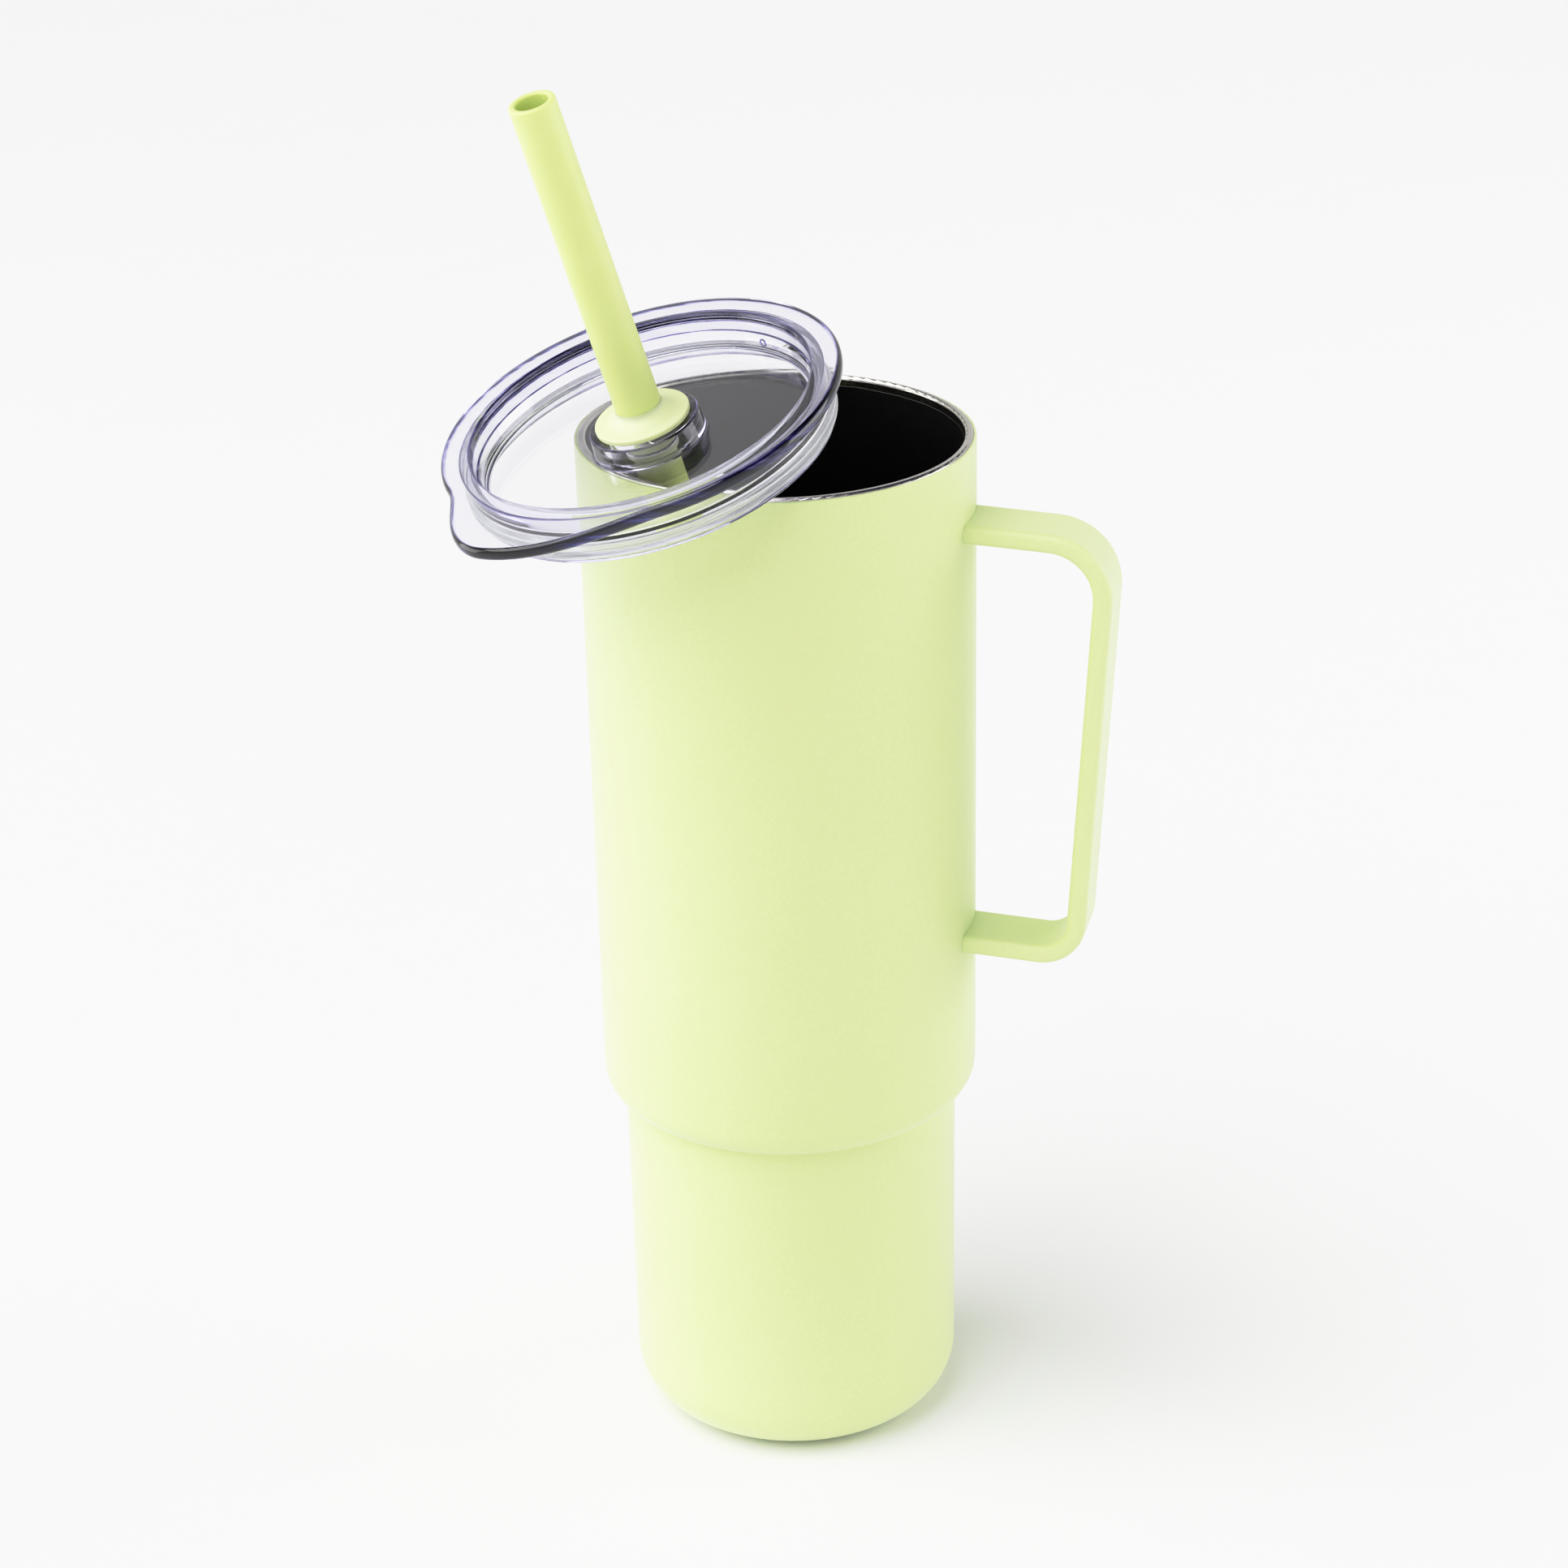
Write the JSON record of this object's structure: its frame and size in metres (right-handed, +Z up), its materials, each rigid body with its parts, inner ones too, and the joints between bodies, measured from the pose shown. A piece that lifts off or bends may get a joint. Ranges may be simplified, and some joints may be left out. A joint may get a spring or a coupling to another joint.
{
  "type": "insulated travel mug",
  "caption": "Tall stepped double-wall steel travel mug with a strap handle, a clear press-in lid with a thumb tab, and a drinking straw in a soft collar.",
  "frame": {"origin": "centre of the foot plate on the ground", "axes": "+Z up along the mug's axis, +X out through the handle"},
  "size_m": [0.1462, 0.1206, 0.3344],
  "materials": {
    "powder_coat": "pale lime powder coat on steel, fine matte grain",
    "handle_coat": "pale lime powder coat, a little smoother than the body's",
    "lined_steel": "matte black coating inside the mug, bare polished steel at the lip",
    "bare_steel": "bare stainless sheet",
    "getter_alloy": "pressed dark grey metal powder",
    "sealing_glass": "fused sealing glass",
    "clear_plastic": "clear rigid plastic, glossy",
    "clear_silicone": "translucent silicone",
    "collar_silicone": "pale lime silicone, satin",
    "straw_plastic": "pale lime plastic, satin"
  },
  "bodies": {
    "mug_body": {"outer_shell": "powder_coat", "outer_base": "powder_coat", "seal_bead": "sealing_glass", "base_cover": "bare_steel", "inner_liner": "lined_steel", "liner_bottom": "lined_steel", "getter_clip": "bare_steel", "getter_pellet": "getter_alloy", "handle": "handle_coat"},
    "lid_seal": {"lid_gasket": "clear_silicone"},
    "lid": {"lid": "clear_plastic"},
    "collar": {"straw_collar": "collar_silicone"},
    "straw": {"straw": "straw_plastic"}
  },
  "joints": [
    {"name": "lid_lift", "type": "slide", "parent": "mug_body", "child": "lid_seal", "axis": [-0.2081, -0.2352, 0.9494], "range_m": [0, 0.21]},
    {"name": "lid_turn", "type": "hinge", "parent": "lid_seal", "child": "lid", "pos_m": [-0.02399, -0.02711, 0.26126], "axis": [-0.2081, -0.2352, 0.9494], "continuous": true},
    {"name": "collar_pull", "type": "slide", "parent": "lid", "child": "collar", "axis": [-0.2081, -0.2352, 0.9494], "range_m": [0, 0.215]},
    {"name": "straw_slide", "type": "slide", "parent": "collar", "child": "straw", "axis": [-0.2081, -0.2352, 0.9494], "range_m": [0, 0.206]}
  ]
}
